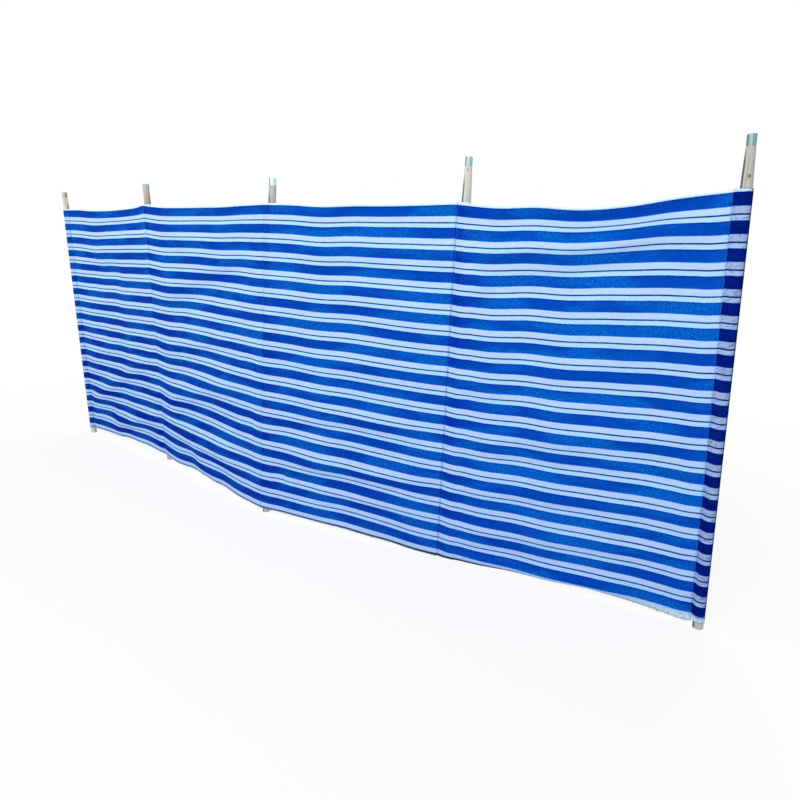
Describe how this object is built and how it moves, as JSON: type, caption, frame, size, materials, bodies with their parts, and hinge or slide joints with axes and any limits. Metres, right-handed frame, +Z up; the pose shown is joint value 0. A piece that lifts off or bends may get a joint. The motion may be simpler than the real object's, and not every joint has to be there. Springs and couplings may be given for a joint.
{
  "type": "beach windbreak",
  "caption": "Striped cloth windbreak in bays between round wooden poles, each with a metal cap, standing in the ground.",
  "frame": {"origin": "middle of the flat foot of pole 3, at ground level", "axes": "+X along the windbreak to the right, +Y to its back, where the pole pockets hang, +Z up"},
  "size_m": [3.2188, 0.2099, 1.3296],
  "materials": {
    "cloth": "woven, blue and pale stripes",
    "hem_cloth": "woven, turned and stitched",
    "pocket_cloth": "woven, two layers, blue and pale stripes",
    "pole_wood": "weathered, unvarnished",
    "cap_metal": "pressed and zinc plated"
  },
  "bodies": {
    "root": {"pole_1": "pole_wood", "cap_1": "cap_metal", "sleeve_1": "pocket_cloth", "pole_2": "pole_wood", "cap_2": "cap_metal", "sleeve_2": "pocket_cloth", "pole_3": "pole_wood", "cap_3": "cap_metal", "sleeve_3": "pocket_cloth", "pole_4": "pole_wood", "cap_4": "cap_metal", "sleeve_4": "pocket_cloth", "pole_5": "pole_wood", "cap_5": "cap_metal", "sleeve_5": "pocket_cloth", "cloth_bay_1": "cloth", "top_hem_1": "hem_cloth", "cloth_bay_2": "cloth", "top_hem_2": "hem_cloth", "cloth_bay_3": "cloth", "top_hem_3": "hem_cloth", "cloth_bay_4": "cloth", "top_hem_4": "hem_cloth"}
  },
  "joints": []
}
